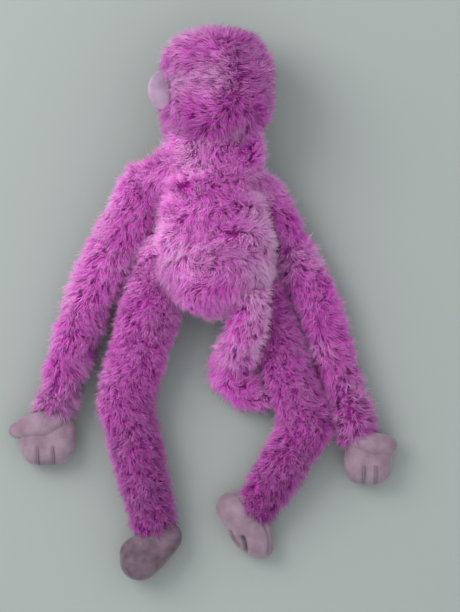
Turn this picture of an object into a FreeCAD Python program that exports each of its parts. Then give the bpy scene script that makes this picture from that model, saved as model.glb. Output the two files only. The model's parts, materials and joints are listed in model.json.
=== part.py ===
"""A long-limbed plush monkey lying face down, with its arms and legs trailing and its tail curled.

The toy is a set of fur-fabric covers round fibre filling. Every limb is a tapered tube with round
ends from one place to the next. Where a piece bends, the piece nearer the trunk is hollowed by a
ball-shaped room, in which the round end of the next piece turns. The covers are flat where they
rest, at height 0. Lengths are millimetres, +Z is up, and +Y points from the feet to the head.
"""

import FreeCAD, Part
import Sketcher
import math
import os

from FreeCAD import Placement, Rotation, Vector

UP = Vector(0, 0, 1)
TOWARDS_HEAD = Vector(0, 1, 0)
SIDEWAYS = Vector(1, 0, 0)

# The middle of the outline, and sizes that many pieces share.
SHARED_SIZES = {
    "middle_x": 0.5,
    "middle_y": -2.0,
    "cover_thickness": 3.0,
    "bend_room": 1.42,
    "tail_room": 1.66,
    "ball_gap": 0.6,
    "rest_space": 800.0,
    "face_radius": 31.0,
    "eye_stem_radius": 1.5,
    "eye_stem_length": 15.0,
    "washer_radius": 8.0,
    "washer_thickness": 1.5,
    "ear_thickness": 7.0,
    "ear_lining": 1.5,
    "thread_radius": 0.5,
    "stitch_length": 5.0,
    "nostril_length": 3.0,
}

# The middle of each round end: x, y, height and radius.
ROUND_ENDS = {
    "chest": (8.5, 96.0, 41.0, 42.0),
    "belly": (12.0, 44.0, 44.0, 51.0),
    "neck": (11.0, 138.0, 46.0, 35.4),
    "head_base": (14.0, 185.0, 53.0, 46.0),
    "head_crown": (15.0, 201.0, 53.0, 44.0),
    "left_shoulder": (-46.0, 102.0, 30.0, 24.5),
    "left_arm_root": (-46.0, 102.0, 30.0, 20.0),
    "left_elbow": (-100.0, 11.0, 16.5, 18.0),
    "left_wrist": (-133.0, -94.0, 14.5, 15.5),
    "right_shoulder": (64.5, 105.5, 29.0, 25.5),
    "right_arm_root": (64.5, 105.5, 29.0, 17.5),
    "right_elbow": (102.0, 5.0, 15.5, 17.0),
    "right_wrist": (139.5, -114.0, 14.0, 15.0),
    "left_hip": (-39.0, 22.0, 24.0, 25.5),
    "left_knee": (-69.0, -85.0, 21.5, 23.0),
    "left_ankle": (-44.0, -193.0, 17.0, 18.5),
    "right_hip": (50.0, 16.5, 19.0, 21.5),
    "right_knee": (95.5, -107.6, 18.3, 21.0),
    "right_ankle": (51.0, -180.0, 15.0, 17.5),
    "tail_root": (43.0, 8.0, 57.0, 14.5),
    "tail_middle": (40.0, -22.0, 51.5, 14.0),
    "tail_bend": (27.0, -53.0, 14.0, 13.5),
    "tail_tip": (47.5, -73.0, 11.0, 12.0),
    "left_palm_inner": (-127.0, -111.0, 13.5, 14.5),
    "left_palm_outer": (-147.0, -112.0, 13.5, 14.5),
    "left_fingers_inner": (-127.5, -128.0, 13.5, 14.5),
    "left_fingers_outer": (-151.0, -129.0, 13.5, 14.5),
    "left_thumb_base": (-138.0, -106.0, 20.0, 11.5),
    "left_thumb_tip": (-168.0, -112.0, 14.0, 7.5),
    "right_palm_inner": (143.0, -130.0, 13.5, 15.0),
    "right_palm_outer": (158.0, -129.0, 13.5, 15.0),
    "right_fingers_inner": (143.0, -146.0, 13.5, 15.0),
    "right_fingers_outer": (156.5, -146.0, 13.5, 15.0),
    "right_thumb_base": (150.0, -124.0, 20.0, 11.0),
    "right_thumb_tip": (168.0, -125.0, 15.0, 8.5),
    "left_heel": (-29.0, -211.0, 15.0, 15.0),
    "left_toes": (-56.5, -230.0, 17.5, 19.0),
    "left_big_toe_root": (-51.0, -221.0, 15.0, 12.5),
    "left_big_toe": (-62.0, -214.0, 13.8, 12.0),
    "right_heel": (26.5, -183.0, 13.6, 16.0),
    "right_toes": (47.0, -212.0, 12.8, 15.0),
    "right_big_toe_root": (39.0, -206.0, 10.6, 9.0),
    "right_big_toe": (31.0, -215.5, 10.0, 8.5),
    "muzzle": (14.5, 178.0, 22.5, 24.0),
    "left_eye": (-0.5, 204.0, 12.6, 6.0),
    "right_eye": (29.5, 204.0, 12.6, 6.0),
    "left_ear": (-35.0, 192.0, 58.0, 18.0),
    "right_ear": (64.5, 170.0, 50.0, 18.0),
}

# The angle of each ear above the level, in degrees, seen from the feet.
EAR_LIFT = {"left": 10.0, "right": -62.0}

# The face looks down. Its round opening is centred a little above the muzzle, towards the crown.
FACE_ABOVE_MUZZLE = 12.0
EYE_STEM_START = 2.0
WASHER_ABOVE_EYE = 8.0
MOUTH_WAY = Vector(0, -0.8, -0.6)
MOUTH_HALF_ANGLE = 32.0
NOSTRIL_WAYS = (Vector(-0.2, 0.78, -0.6), Vector(0.2, 0.78, -0.6))

# Threads lie just proud of the cover: how far, in thread radii, an arc's or a straight one's middle is.
ARC_STAND_OFF = 1.1
STRAIGHT_STAND_OFF = 1.6
FINGER_STITCH_SWEEP = 95.0
CLOSING_STITCHES = 7
CLOSING_PITCH = 6.0

doc = FreeCAD.newDocument("plush_monkey")
nodes = []


def fill_sheet():
    """Writes every driving size into one sheet, each in a cell with an alias."""
    sheet = doc.addObject("Spreadsheet::Sheet", "Sizes")
    cells = dict(SHARED_SIZES)
    for name, values in ROUND_ENDS.items():
        for part_of_name, value in zip(("x", "y", "z", "radius"), values):
            cells[f"{name}_{part_of_name}"] = value
    for row, (alias, value) in enumerate(cells.items(), start=1):
        sheet.set(f"A{row}", alias)
        sheet.set(f"B{row}", str(value))
        sheet.setAlias(f"B{row}", alias)
    doc.recompute()
    return sheet


sizes = fill_sheet()


def size(alias):
    return float(sizes.get(alias))


def place(name):
    """The middle of a round end, measured from the middle of the outline."""
    across = size(f"{name}_x") - size("middle_x")
    along = size(f"{name}_y") - size("middle_y")
    return Vector(across, along, size(f"{name}_z"))


def radius_of(name, lining=False):
    thinner = " - Sizes.cover_thickness" if lining else ""
    return f"Sizes.{name}_radius{thinner}"


def distance_between(start, end):
    steps = [f"(Sizes.{end}_{way} - Sizes.{start}_{way})^2" for way in "xyz"]
    return f"sqrt({' + '.join(steps)})"


def bind(item, **expressions):
    for name, expression in expressions.items():
        item.setExpression(name, expression)
    return item


def keep(item, label):
    item.Label = label
    nodes.append(item)
    return item


def tube(name, start, end, lining=False):
    """A tapered tube with round ends, turned from a sketch of its half outline."""
    first, last = place(start), place(end)
    length = first.distanceToPoint(last)
    thinner = size("cover_thickness") if lining else 0.0
    near = size(f"{start}_radius") - thinner
    far = size(f"{end}_radius") - thinner
    lean = math.asin((near - far) / length)
    touch = math.pi / 2 - lean

    body = doc.addObject("PartDesign::Body", name)
    plane = next(item for item in body.Origin.OriginFeatures if item.Role == "XY_Plane")
    sketch = body.newObject("Sketcher::SketchObject", f"{name}_outline")
    sketch.AttachmentSupport = [(plane, "")]
    sketch.MapMode = "FlatFace"
    near_circle = Part.Circle(Vector(0, 0, 0), UP, near)
    far_circle = Part.Circle(Vector(length, 0, 0), UP, far)
    near_point = Vector(near * math.cos(touch), near * math.sin(touch), 0)
    far_point = Vector(length + far * math.cos(touch), far * math.sin(touch), 0)
    sketch.addGeometry(Part.ArcOfCircle(near_circle, touch, math.pi))
    sketch.addGeometry(Part.LineSegment(near_point, far_point))
    sketch.addGeometry(Part.ArcOfCircle(far_circle, 0, touch))
    sketch.addGeometry(Part.LineSegment(Vector(-near, 0, 0), Vector(length + far, 0, 0)))
    near_arc, side, far_arc, middle_line = range(4)
    origin_and_axis = -1
    first_end, second_end, centre = 1, 2, 3
    for terms in (
        ("Coincident", near_arc, centre, origin_and_axis, first_end),
        ("PointOnObject", far_arc, centre, origin_and_axis),
        ("Tangent", near_arc, first_end, side, first_end),
        ("Tangent", side, second_end, far_arc, second_end),
        ("Coincident", near_arc, second_end, middle_line, first_end),
        ("PointOnObject", near_arc, second_end, origin_and_axis),
        ("Coincident", far_arc, first_end, middle_line, second_end),
        ("PointOnObject", far_arc, first_end, origin_and_axis),
        ("Radius", near_arc, near),
        ("Radius", far_arc, far),
        ("DistanceX", near_arc, centre, far_arc, centre, length),
    ):
        sketch.addConstraint(Sketcher.Constraint(*terms))
    near_size, far_size, length_size = 8, 9, 10
    bind(
        sketch,
        **{
            f"Constraints[{near_size}]": radius_of(start, lining),
            f"Constraints[{far_size}]": radius_of(end, lining),
            f"Constraints[{length_size}]": distance_between(start, end),
        },
    )
    turned = body.newObject("PartDesign::Revolution", f"{name}_turned")
    turned.Profile = sketch
    turned.ReferenceAxis = (sketch, ["H_Axis"])
    turned.Angle = 360
    body.Placement = Placement(first, Rotation(SIDEWAYS, last - first))
    return body


def ball(name, middle, radius):
    item = bind(doc.addObject("Part::Sphere", name), Radius=radius)
    item.Placement = Placement(middle, Rotation())
    return item


def rod(name, start, direction, radius, length):
    item = bind(doc.addObject("Part::Cylinder", name), Radius=radius, Height=length)
    item.Placement = Placement(start, Rotation(UP, direction))
    return item


def thread_arc(name, middle, ring_radius, start_way, turn_way, sweep):
    """A round thread along an arc, from start_way towards turn_way."""
    item = bind(doc.addObject("Part::Torus", name), Radius1=ring_radius, Radius2="Sizes.thread_radius")
    item.Angle3 = sweep
    axis = start_way.cross(turn_way)
    item.Placement = Placement(middle, Rotation(start_way, turn_way, axis, "ZXY"))
    return item


def cut(name, base, *tools):
    """The base with every tool taken out of it in turn."""
    for number, tool in enumerate(tools):
        item = doc.addObject("Part::Cut", f"{name}_cut_{number}")
        item.Base = base
        item.Tool = tool
        base = item
    return base


def common(name, base, tool):
    item = doc.addObject("Part::Common", name)
    item.Base = base
    item.Tool = tool
    return item


def join(name, parts):
    item = doc.addObject("Part::MultiFuse", name)
    item.Shapes = parts
    return item


def rest_space(name, height):
    """The space above a height, from which the flat underside of each piece comes."""
    item = bind(
        doc.addObject("Part::Box", name),
        Length="Sizes.rest_space",
        Width="Sizes.rest_space",
        Height="Sizes.rest_space",
    )
    half = size("rest_space") / 2
    item.Placement = Placement(Vector(-half, -half, height), Rotation())
    return item


above_floor = rest_space("above_floor", 0.0)
above_lining = rest_space("above_lining", size("cover_thickness"))


def bend_room(name, factor="Sizes.bend_room"):
    """The ball-shaped room round a bend, in which the next piece turns."""
    return ball(f"{name}_room", place(name), f"Sizes.{name}_radius * {factor}")


def ball_room(name):
    """The room round a ball that fills its socket."""
    return ball(f"{name}_room", place(name), f"Sizes.{name}_radius + Sizes.ball_gap")


def sewn_piece(name, side, outer, inner, rooms):
    """A cover and the filling inside it, both flat underneath and open at their bends."""
    ending = f"_{side}" if side else ""
    outside = common(f"{name}{ending}_outside", outer, above_floor)
    inside = common(f"{name}{ending}_inside", inner, above_lining)
    cover = cut(f"{name}{ending}_cover", outside, inside, *rooms)
    filling = cut(f"{name}{ending}_filling", inside, *rooms)
    keep(cover, f"{name}_cover{ending}")
    keep(filling, f"{name}_stuffing{ending}")


def limb_piece(name, side, start, end, rooms):
    """One straight stretch of a limb."""
    outer = tube(f"{name}_{side}_skin", start, end)
    inner = tube(f"{name}_{side}_core", start, end, lining=True)
    sewn_piece(name, side, outer, inner, rooms)


def branched_piece(name, side, root, branches, rooms):
    """A hand or a foot: a ball at the wrist or ankle joined to the tubes that make its lobes."""
    shells = {}
    for kind, lining in (("skin", False), ("core", True)):
        parts = [ball(f"{name}_{side}_{kind}_root", place(root), radius_of(root, lining))]
        for number, (start, end) in enumerate(branches):
            parts.append(tube(f"{name}_{side}_{kind}_{number}", start, end, lining))
        shells[kind] = join(f"{name}_{side}_{kind}", parts)
    sewn_piece(name, side, shells["skin"], shells["core"], rooms)


def joint_ball(name, side, where):
    """A ball of filling with its cover, between two pieces that turn both ways about it."""
    ending = f"_{side}" if side else ""
    skin = ball(f"{name}{ending}_skin", place(where), radius_of(where))
    core = ball(f"{name}{ending}_core", place(where), radius_of(where, lining=True))
    keep(cut(f"{name}{ending}_shell", skin, core), f"{name}_cover{ending}")
    keep(core, f"{name}_stuffing{ending}")


def finger_stitches(side, across):
    """Two threads drawn over the finger lobe, which part it into three fingers."""
    inner, outer = place(f"{side}_fingers_inner"), place(f"{side}_fingers_outer")
    lobe = (outer - inner).normalize()
    tip_way = lobe.cross(UP)
    if tip_way.dot(TOWARDS_HEAD) > 0:
        tip_way = tip_way * -1
    ring = f"Sizes.{side}_fingers_inner_radius + Sizes.thread_radius * {ARC_STAND_OFF}"
    threads = []
    for number, share in enumerate(across):
        middle = inner + (outer - inner) * share
        arc = thread_arc(f"thread_{side}_{number}", middle, ring, tip_way, UP, FINGER_STITCH_SWEEP)
        threads.append(arc)
    keep(join(f"finger_threads_{side}", threads), f"finger_stitches_{side}")


def trunk():
    outer = tube("torso_skin", "belly", "chest")
    inner = tube("torso_core", "belly", "chest", lining=True)
    rooms = [ball_room(name) for name in ("neck", "left_shoulder", "right_shoulder")]
    rooms += [bend_room(name) for name in ("left_hip", "right_hip")]
    rooms.append(bend_room("tail_root", "Sizes.tail_room"))
    sewn_piece("torso", "", outer, inner, rooms)
    closing_stitches()


def closing_stitches():
    """The short cross threads that close the seam on the back, where the filling went in."""
    belly, chest = place("belly"), place("chest")
    slope = (size("belly_radius") - size("chest_radius")) / belly.distanceToPoint(chest)
    axis_way = (chest - belly).normalize()
    back_way = (UP - axis_way * UP.dot(axis_way)).normalize()
    threads = []
    for number in range(CLOSING_STITCHES):
        along = (number - CLOSING_STITCHES / 2 + 0.5) * CLOSING_PITCH
        middle = (belly + chest) * 0.5 + axis_way * along
        radius = (size("belly_radius") + size("chest_radius")) / 2 - slope * along
        reach = (radius + size("thread_radius") * STRAIGHT_STAND_OFF) / math.cos(math.asin(slope))
        start = middle + back_way * reach - SIDEWAYS * (size("stitch_length") / 2)
        name = f"closing_thread_{number}"
        threads.append(rod(name, start, SIDEWAYS, "Sizes.thread_radius", "Sizes.stitch_length"))
    group = doc.addObject("Part::Compound", "closing_threads")
    group.Links = threads
    keep(group, "closing_stitches")


def head():
    """The head: its fur cover open at the face, the smooth face sewn into it, and the filling."""
    neck_room = doc.getObject("neck_room")
    skin = tube("head_skin", "head_base", "head_crown")
    core = tube("head_core", "head_base", "head_crown", lining=True)
    middle = place("muzzle") + TOWARDS_HEAD * FACE_ABOVE_MUZZLE
    half_head = "Sizes.head_base_z"
    face_space = rod("face_space", Vector(middle.x, middle.y, 0), UP, "Sizes.face_radius", half_head)
    shell = cut("head_shell", skin, core, neck_room)
    keep(cut("head_fur", shell, face_space), "head_cover")

    stems = [eye(side) for side in ("left", "right")]
    face = cut("face", common("face_front", shell, face_space), *stems)
    keep(face, "face_panel")
    washers = eye_washers()
    filling = cut("head_filling", core, neck_room, *stems, *washers["pockets"])
    keep(filling, "head_stuffing")
    muzzle(skin)


def eye(side):
    """A plastic eye: a dome on the face and a stem through it. Returns the stem."""
    where = place(f"{side}_eye")
    skin = doc.getObject("head_skin")
    dome = cut(f"{side}_eye_dome", ball(f"{side}_eye_ball", where, radius_of(f"{side}_eye")), skin)
    foot = where - UP * EYE_STEM_START
    stem = rod(f"{side}_eye_stem", foot, UP, "Sizes.eye_stem_radius", "Sizes.eye_stem_length")
    keep(join(f"{side}_eye_whole", [dome, stem]), f"eye_{side}")
    return stem


def eye_washers():
    """The washers that lock the eyes behind the face, and the pockets they leave in the filling."""
    pockets, rings = [], []
    for side in ("left", "right"):
        seat = place(f"{side}_eye") + UP * WASHER_ABOVE_EYE
        pocket = rod(
            f"{side}_washer_pocket", seat, UP, "Sizes.washer_radius", "Sizes.washer_thickness"
        )
        pockets.append(pocket)
        rings.append(cut(f"{side}_washer", pocket, doc.getObject(f"{side}_eye_stem")))
    group = doc.addObject("Part::Compound", "washer_pair")
    group.Links = rings
    keep(group, "eye_washers")
    return {"pockets": pockets}


def muzzle(head_skin):
    """The smooth muzzle sewn on the face, its filling, and the threads of its nose and mouth."""
    middle = place("muzzle")
    skin = ball("muzzle_skin", middle, radius_of("muzzle"))
    core = ball("muzzle_core", middle, radius_of("muzzle", lining=True))
    sewn_piece("muzzle", "", skin, core, [head_skin, doc.getObject("neck_room")])
    turn_axis = SIDEWAYS.cross(MOUTH_WAY)
    start_way = Rotation(turn_axis, -MOUTH_HALF_ANGLE).multVec(MOUTH_WAY)
    side_way = turn_axis.cross(start_way).normalize()
    ring = f"Sizes.muzzle_radius + Sizes.thread_radius * {ARC_STAND_OFF}"
    mouth = thread_arc("mouth_thread", middle, ring, start_way, side_way, 2 * MOUTH_HALF_ANGLE)
    keep(mouth, "mouth_stitch")
    nostrils = []
    for number, way in enumerate(NOSTRIL_WAYS):
        out_way = Vector(way).normalize()
        start = middle + out_way * (size("muzzle_radius") + size("thread_radius") * STRAIGHT_STAND_OFF)
        name = f"nostril_thread_{number}"
        along = UP.cross(out_way)
        nostrils.append(rod(name, start, along, "Sizes.thread_radius", "Sizes.nostril_length"))
    group = doc.addObject("Part::Compound", "nostril_threads")
    group.Links = nostrils
    keep(group, "nostril_stitches")


def ear(side, outwards):
    """A flat half disc of smooth fabric, its straight side along the head, and the pad inside it."""
    lift = math.radians(EAR_LIFT[side])
    out_way = Vector(outwards * math.cos(lift), 0, math.sin(lift))
    flat_way = out_way.cross(TOWARDS_HEAD)
    flat_way = flat_way if flat_way.z > 0 else flat_way * -1
    along = flat_way.cross(out_way)
    turn = Rotation(along * -1, out_way, flat_way, "ZXY")
    shapes = {}
    for kind, margin in (("skin", "0"), ("pad", "Sizes.ear_lining")):
        disc = bind(
            doc.addObject("Part::Cylinder", f"ear_{side}_{kind}"),
            Radius=f"Sizes.{side}_ear_radius - {margin}",
            Height=f"Sizes.ear_thickness - 2 * {margin}",
        )
        disc.Angle = 180
        inset = 0.0 if kind == "skin" else size("ear_lining")
        low = flat_way * (inset - size("ear_thickness") / 2)
        disc.Placement = Placement(place(f"{side}_ear") + low + out_way * inset, turn)
        shapes[kind] = disc
    trimmed = common(f"ear_{side}_inner", shapes["pad"], shapes["skin"])
    keep(cut(f"ear_{side}_fabric", shapes["skin"], trimmed), f"ear_cover_{side}")
    keep(trimmed, f"ear_padding_{side}")


def arm(side, stitch_places):
    joint_ball("shoulder", side, f"{side}_shoulder")
    shoulder_room = doc.getObject(f"{side}_shoulder_room")
    elbow_room = bend_room(f"{side}_elbow")
    wrist_room = bend_room(f"{side}_wrist")
    limb_piece("upper_arm", side, f"{side}_arm_root", f"{side}_elbow", [shoulder_room, elbow_room])
    limb_piece("forearm", side, f"{side}_elbow", f"{side}_wrist", [wrist_room])
    lobes = [
        (f"{side}_palm_inner", f"{side}_palm_outer"),
        (f"{side}_fingers_inner", f"{side}_fingers_outer"),
        (f"{side}_thumb_base", f"{side}_thumb_tip"),
    ]
    branched_piece("hand", side, f"{side}_wrist", lobes, [])
    finger_stitches(side, stitch_places)


def leg(side):
    knee_room = bend_room(f"{side}_knee")
    ankle_room = bend_room(f"{side}_ankle")
    limb_piece("thigh", side, f"{side}_hip", f"{side}_knee", [knee_room])
    limb_piece("shin", side, f"{side}_knee", f"{side}_ankle", [ankle_room])
    lobes = [
        (f"{side}_heel", f"{side}_toes"),
        (f"{side}_big_toe_root", f"{side}_big_toe"),
    ]
    branched_piece("foot", side, f"{side}_ankle", lobes, [])


def tail():
    bends = ("tail_root", "tail_middle", "tail_bend", "tail_tip")
    for number, (start, end) in enumerate(zip(bends, bends[1:]), start=1):
        rooms = [] if end == "tail_tip" else [bend_room(end)]
        limb_piece("tail", str(number), start, end, rooms)


def check_everything():
    """Stops with a message if any object failed or any piece isn't a sound solid."""
    for item in doc.Objects:
        failed = {"Invalid", "Error"} & set(item.State)
        if failed:
            raise RuntimeError(f"{item.Name} is {failed}")
    for node in nodes:
        shape = node.Shape
        if shape.isNull() or not shape.isValid() or not shape.Solids:
            raise RuntimeError(f"{node.Label} isn't a valid solid")
        print(f"{node.Label:26} {len(shape.Solids)} solid {shape.Volume / 1000:9.3f} ml")


trunk()
joint_ball("neck", "", "neck")
head()
ear("left", -1)
ear("right", 1)
arm("left", (0.25, 0.85))
arm("right", (0.2, 1.0))
leg("left")
leg("right")
tail()
doc.recompute()
check_everything()

os.makedirs("parts", exist_ok=True)
for node in nodes:
    node.Shape.exportStep(f"parts/{node.Label}.step")
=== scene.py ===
"""The looks of a shaggy, long-limbed plush monkey lying face down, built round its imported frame.

Sewn skins, filled by cloth simulation, stand for the frame's covers. The furry ones grow tufts of
tapered strands, and the hands, feet, ears, face and muzzle are smooth short-nap fabric. Sizes with
MM are millimetres turned to metres. Places come from the frame's joints, boxes and vertices.
"""

import json
import math

import bmesh
import bpy
import numpy as np
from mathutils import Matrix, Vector


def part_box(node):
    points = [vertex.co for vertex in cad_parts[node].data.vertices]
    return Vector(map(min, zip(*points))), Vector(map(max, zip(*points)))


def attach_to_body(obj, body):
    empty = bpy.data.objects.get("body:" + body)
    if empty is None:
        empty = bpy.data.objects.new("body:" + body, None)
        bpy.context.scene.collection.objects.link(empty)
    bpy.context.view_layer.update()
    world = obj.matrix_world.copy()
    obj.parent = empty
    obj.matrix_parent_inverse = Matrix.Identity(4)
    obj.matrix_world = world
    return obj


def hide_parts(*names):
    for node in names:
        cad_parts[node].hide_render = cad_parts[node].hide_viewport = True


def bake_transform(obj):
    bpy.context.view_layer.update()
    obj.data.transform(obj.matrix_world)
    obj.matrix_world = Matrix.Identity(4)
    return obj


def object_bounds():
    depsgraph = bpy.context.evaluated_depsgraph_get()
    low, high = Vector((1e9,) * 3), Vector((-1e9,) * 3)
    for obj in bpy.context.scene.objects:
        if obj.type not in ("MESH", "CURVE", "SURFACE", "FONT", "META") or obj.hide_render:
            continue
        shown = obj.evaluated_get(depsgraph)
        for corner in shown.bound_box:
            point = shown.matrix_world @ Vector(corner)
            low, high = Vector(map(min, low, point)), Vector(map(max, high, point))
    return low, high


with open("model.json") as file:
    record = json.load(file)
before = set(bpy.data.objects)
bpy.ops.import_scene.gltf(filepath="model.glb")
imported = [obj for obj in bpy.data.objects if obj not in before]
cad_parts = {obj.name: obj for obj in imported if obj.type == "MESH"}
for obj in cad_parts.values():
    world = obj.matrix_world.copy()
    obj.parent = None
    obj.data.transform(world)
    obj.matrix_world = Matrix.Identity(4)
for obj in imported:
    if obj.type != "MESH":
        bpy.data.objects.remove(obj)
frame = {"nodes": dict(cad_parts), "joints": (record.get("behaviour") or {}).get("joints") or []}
CAD_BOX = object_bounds()

MM = 0.001
SIDES = ("left", "right")
UP = Vector((0, 0, 1))

# Every twelfth vertex of a thread is enough to show where it runs.
THREAD_SKIP = 12

# Skins lie under the frame's covers, because the pile reaches out past them. Each shoulder's lies
# a little further in than the root of its arm.
SKIN_INSET = 4.5 * MM
SHOULDER_SKIN_INSET = 1 * MM
LOWEST_SKIN = 0.3 * MM

# A skin starts as balls set close together along chains of round ends. Where a cover gives an end's
# radius, its vertices count within this cone past the end's middle.
STATION_STEP = 3 * MM
BALL_SUBDIVISIONS = 3
END_CONE_COSINE = 0.5

# How finely each kind of skin is remeshed, and how often it is then smoothed.
FUR_SKIN_VOXEL = 3.5 * MM
SMOOTH_SKIN_VOXEL = 1.7 * MM
THIN_SKIN_VOXEL = 1.2 * MM
SMOOTH_FACTOR = 0.5
FUR_SMOOTHING = 6
MITT_SMOOTHING = 14
NODE_SMOOTHING = 4
FACE_SMOOTHING = 2

# The filling's pressure, and how far it may push out each kind of skin.
CLOTH_FRAMES = 20
FILL_PRESSURE = 4.0
FUR_SKIN_SWELL = 2.5 * MM
SMOOTH_SKIN_SWELL = 1.2 * MM
SMALL_SKIN_SWELL = 0.5 * MM

# The pile: tufts and the strands in each. A ring holds its share of a strand's length and radius.
TUFT_SPACING = 2.45 * MM
TUFT_RADIUS = 2.7 * MM
STRANDS_PER_TUFT = 7
STRANDS_PER_PIECE = 19000
STRAND_LENGTH = 14 * MM
STRAND_RADIUS = 0.32 * MM
STRAND_RINGS = ((0.0, 1.0), (0.5, 0.8))
STRAND_SIDES = 3
POINTS_PER_STRAND = len(STRAND_RINGS) * STRAND_SIDES + 1
UV_CELL_MARGIN = 0.1
LOWEST_STRAND = 0.15 * MM
HIGHEST_STRAND = CAD_BOX[1].z + 9 * MM
# No tuft grows where another skin covers its root by more than this.
ROOT_COVERED = 3 * MM

# How a tuft stands: away from the skin, along the pile's lie, and astray.
TUFT_OUTWARD = 0.85
TUFT_ALONG = 0.5
TUFT_STRAY = 0.26
TUFT_LENGTHS = (0.72, 1.15)

# How a strand bends: its sunk root, the height of its bend, and its tip, drawn in to the tuft's.
ROOT_SINK = 0.8 * MM
BEND_RISE = 0.5
BEND_STRAY = 0.8 * MM
TIP_SPREAD = 0.6
TIP_STRAY = 1.7 * MM

# The slow waves that ruffle the pile and vary its frost.
WAVES = 7
WAVELENGTH_SPREAD = (0.6, 1.6)
RUFFLE_WAVELENGTH = 32 * MM
FROST_WAVELENGTH = 45 * MM

# A strand's frost runs from 0, magenta, to 1, pale pink, and its shade from 0, dark, to 1, light.
TUFT_FROST_SPREAD = 0.22
# Painted highlight: each strand's frost also wanders on its own, so that scattered strands stand
# out pale.
STRAND_HIGHLIGHT_SPREAD = 0.22
BASE_SHADE = 0.5
TUFT_SHADE_SPREAD = 0.3
STRAND_SHADE_SPREAD = 0.2
DEEP_SHADE = 0.5

# The trunk's paler patch: where it fades in across the toy, and out towards the head.
TRUNK_FROST = 0.24
PATCH_FROST = 0.46
PATCH_ACROSS = (10 * MM, 50 * MM)
PATCH_UPWARD = (75 * MM, 125 * MM)
# The tail turns pale on its right, across an edge measured from its middle joint.
TAIL_FROST = 0.1
TAIL_EDGE_FROST = 0.85
TAIL_EDGE = (-4 * MM, 7 * MM)
TAIL_END_FROST_SHARE = 0.25


def vectors_mm(*rows):
    """Steps or places given in millimetres."""
    return [Vector(row) * MM for row in rows]


def ends_mm(*rows):
    """Round ends given in millimetres: a step in x, y and z, and a radius."""
    return [(Vector(row[:3]) * MM, row[3] * MM) for row in rows]


# Sizes that neither a joint nor a box gives. The right arm's root is pressed in under the trunk.
CHEST_FROM_NECK = Vector((-2.5, -42, -5)) * MM
CHEST_RADIUS = 42 * MM
ARM_ROOT_RADIUS = {"left": 19 * MM, "right": 12 * MM}
ARM_ROOT_SHIFT = {"left": Vector((-3, 0, 0)) * MM, "right": Vector((-11, -5, 0)) * MM}

# The yoke joins the chest to each arm, and the nape joins the neck to the left one.
YOKE_FROM_CHEST = Vector((0, 18, 0)) * MM
YOKE_ROOT_RADIUS = 26 * MM
YOKE_RADIUS = {"left": 16 * MM, "right": 12 * MM}
NAPE_FROM_NECK = Vector((-12, -2, -6)) * MM
NAPE_RADIUS = 17 * MM
# The neck's skin runs between these two steps from its middle, so that it is wide.
NECK_WIDENING = vectors_mm((-5, 0, -3), (5, 0, -3))

# The crown is broad and nearly flat, and a tuft stands out below the left ear.
CROWN_RADIUS = 44 * MM
HEAD_BASE_BELOW_CROWN = 16 * MM
CROWN_CORNERS = ends_mm((-10, 4, 0, 34.5), (8, 1, 0, 35.5))
CHEEK_TUFT = ends_mm((-22, -13, -4, 20), (-25, -24, -5, 17))
# The head's pile parts along a line, given from the crown's middle, and falls a little downwards.
PARTING = vectors_mm((16, -16, 38), (16, 34, 26))
PARTING_FALL = (0, -0.25, 0)

# No pile grows on the head under the left ear. Each ear is scaled from its hinge and moved.
EAR_BED_STEP = Vector((0, 0, 8)) * MM
EAR_BED_RADIUS = 20 * MM
EAR_TUCK = {"left": (1.08, Vector((7, -1, 5)) * MM), "right": (0.6, Vector((-8, 1, -2)) * MM)}

# A fold of the trunk's cover over the left hip, from that hip's middle.
HIP_FOLD = ends_mm((1, 4, 0, 17), (6, 27, 10, 15))
# The end of the tail curls from its last bend, and tapers from there to its tip.
TAIL_CURL = vectors_mm((0, 0, 0), (0, -11, -1), (11, -22, -2), (31, -25, -3))
TAIL_TAPER = (0, 0.3, 0.6, 1)
TAIL_TIP_RADIUS = 12 * MM

# Hands and feet as chains of round ends. Their steps start on the floor under the wrist or ankle.
MITT = {
    "left": (
        ends_mm((1, 0, 14, 9), (0, -14, 14, 12)),
        ends_mm((7, -17, 13.5, 14), (-14, -18, 13.5, 14)),
        ends_mm((6, -26, 13.5, 15), (-18, -27, 13.5, 15)),
        ends_mm((4, -34, 13.5, 15.2), (-16, -35, 13.5, 15.2)),
        ends_mm((-3, -35.5, 13.5, 15.2), (-9, -36, 13.5, 15.2)),
    ),
    "right": (
        ends_mm((0, 0, 14, 9), (6, -12, 14, 12)),
        ends_mm((4, -17, 13.5, 15), (18, -16, 13.5, 14.5)),
        ends_mm((3.5, -25, 13.5, 15.2), (18, -25, 13.5, 15)),
        ends_mm((3.5, -32.3, 13.5, 15.4), (17, -32.3, 13.5, 15.4)),
    ),
}
THUMB = {
    "left": (
        ends_mm((2, -10, 21, 10), (-10, -13, 21.5, 12.5), (-23, -16, 19, 11.5), (-35, -19, 15, 7)),
    ),
    "right": (ends_mm((3, -9, 20, 10), (15, -11, 21.5, 11.5), (28, -12, 18, 9.5)),),
}
FOOT = {
    "left": (
        ends_mm((0, 0, 16, 11), (8, -12, 15.5, 14)),
        ends_mm((12, -16, 16, 15), (-1, -27, 17, 18.5), (-12, -37, 17.5, 18.5)),
        ends_mm((-5, -26, 17, 17), (-17, -30, 15, 13.5)),
    ),
    "right": (
        ends_mm((-2, 0, 15, 11), (-20, -3, 14, 14)),
        ends_mm((-24, -3, 13.6, 15), (-12, -18, 14, 17), (-3, -33, 13, 14)),
        ends_mm((-22, -8, 13, 14), (-13, -31, 11.5, 10)),
        ends_mm((0, -22, 14, 13), (4, -38, 12, 11)),
    ),
}

# Each sewn line's depth and width. A line with a negative depth stands out.
CLOSING_STITCHES = (-2.4 * MM, 5 * MM)
FINGER_STITCHES = (0.8 * MM, 1.5 * MM)
# Painted shade darkens a seam's crease in step with its depth, up to this one.
FULL_SEAM_SHADE_DEPTH = 3.0 * MM
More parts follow.
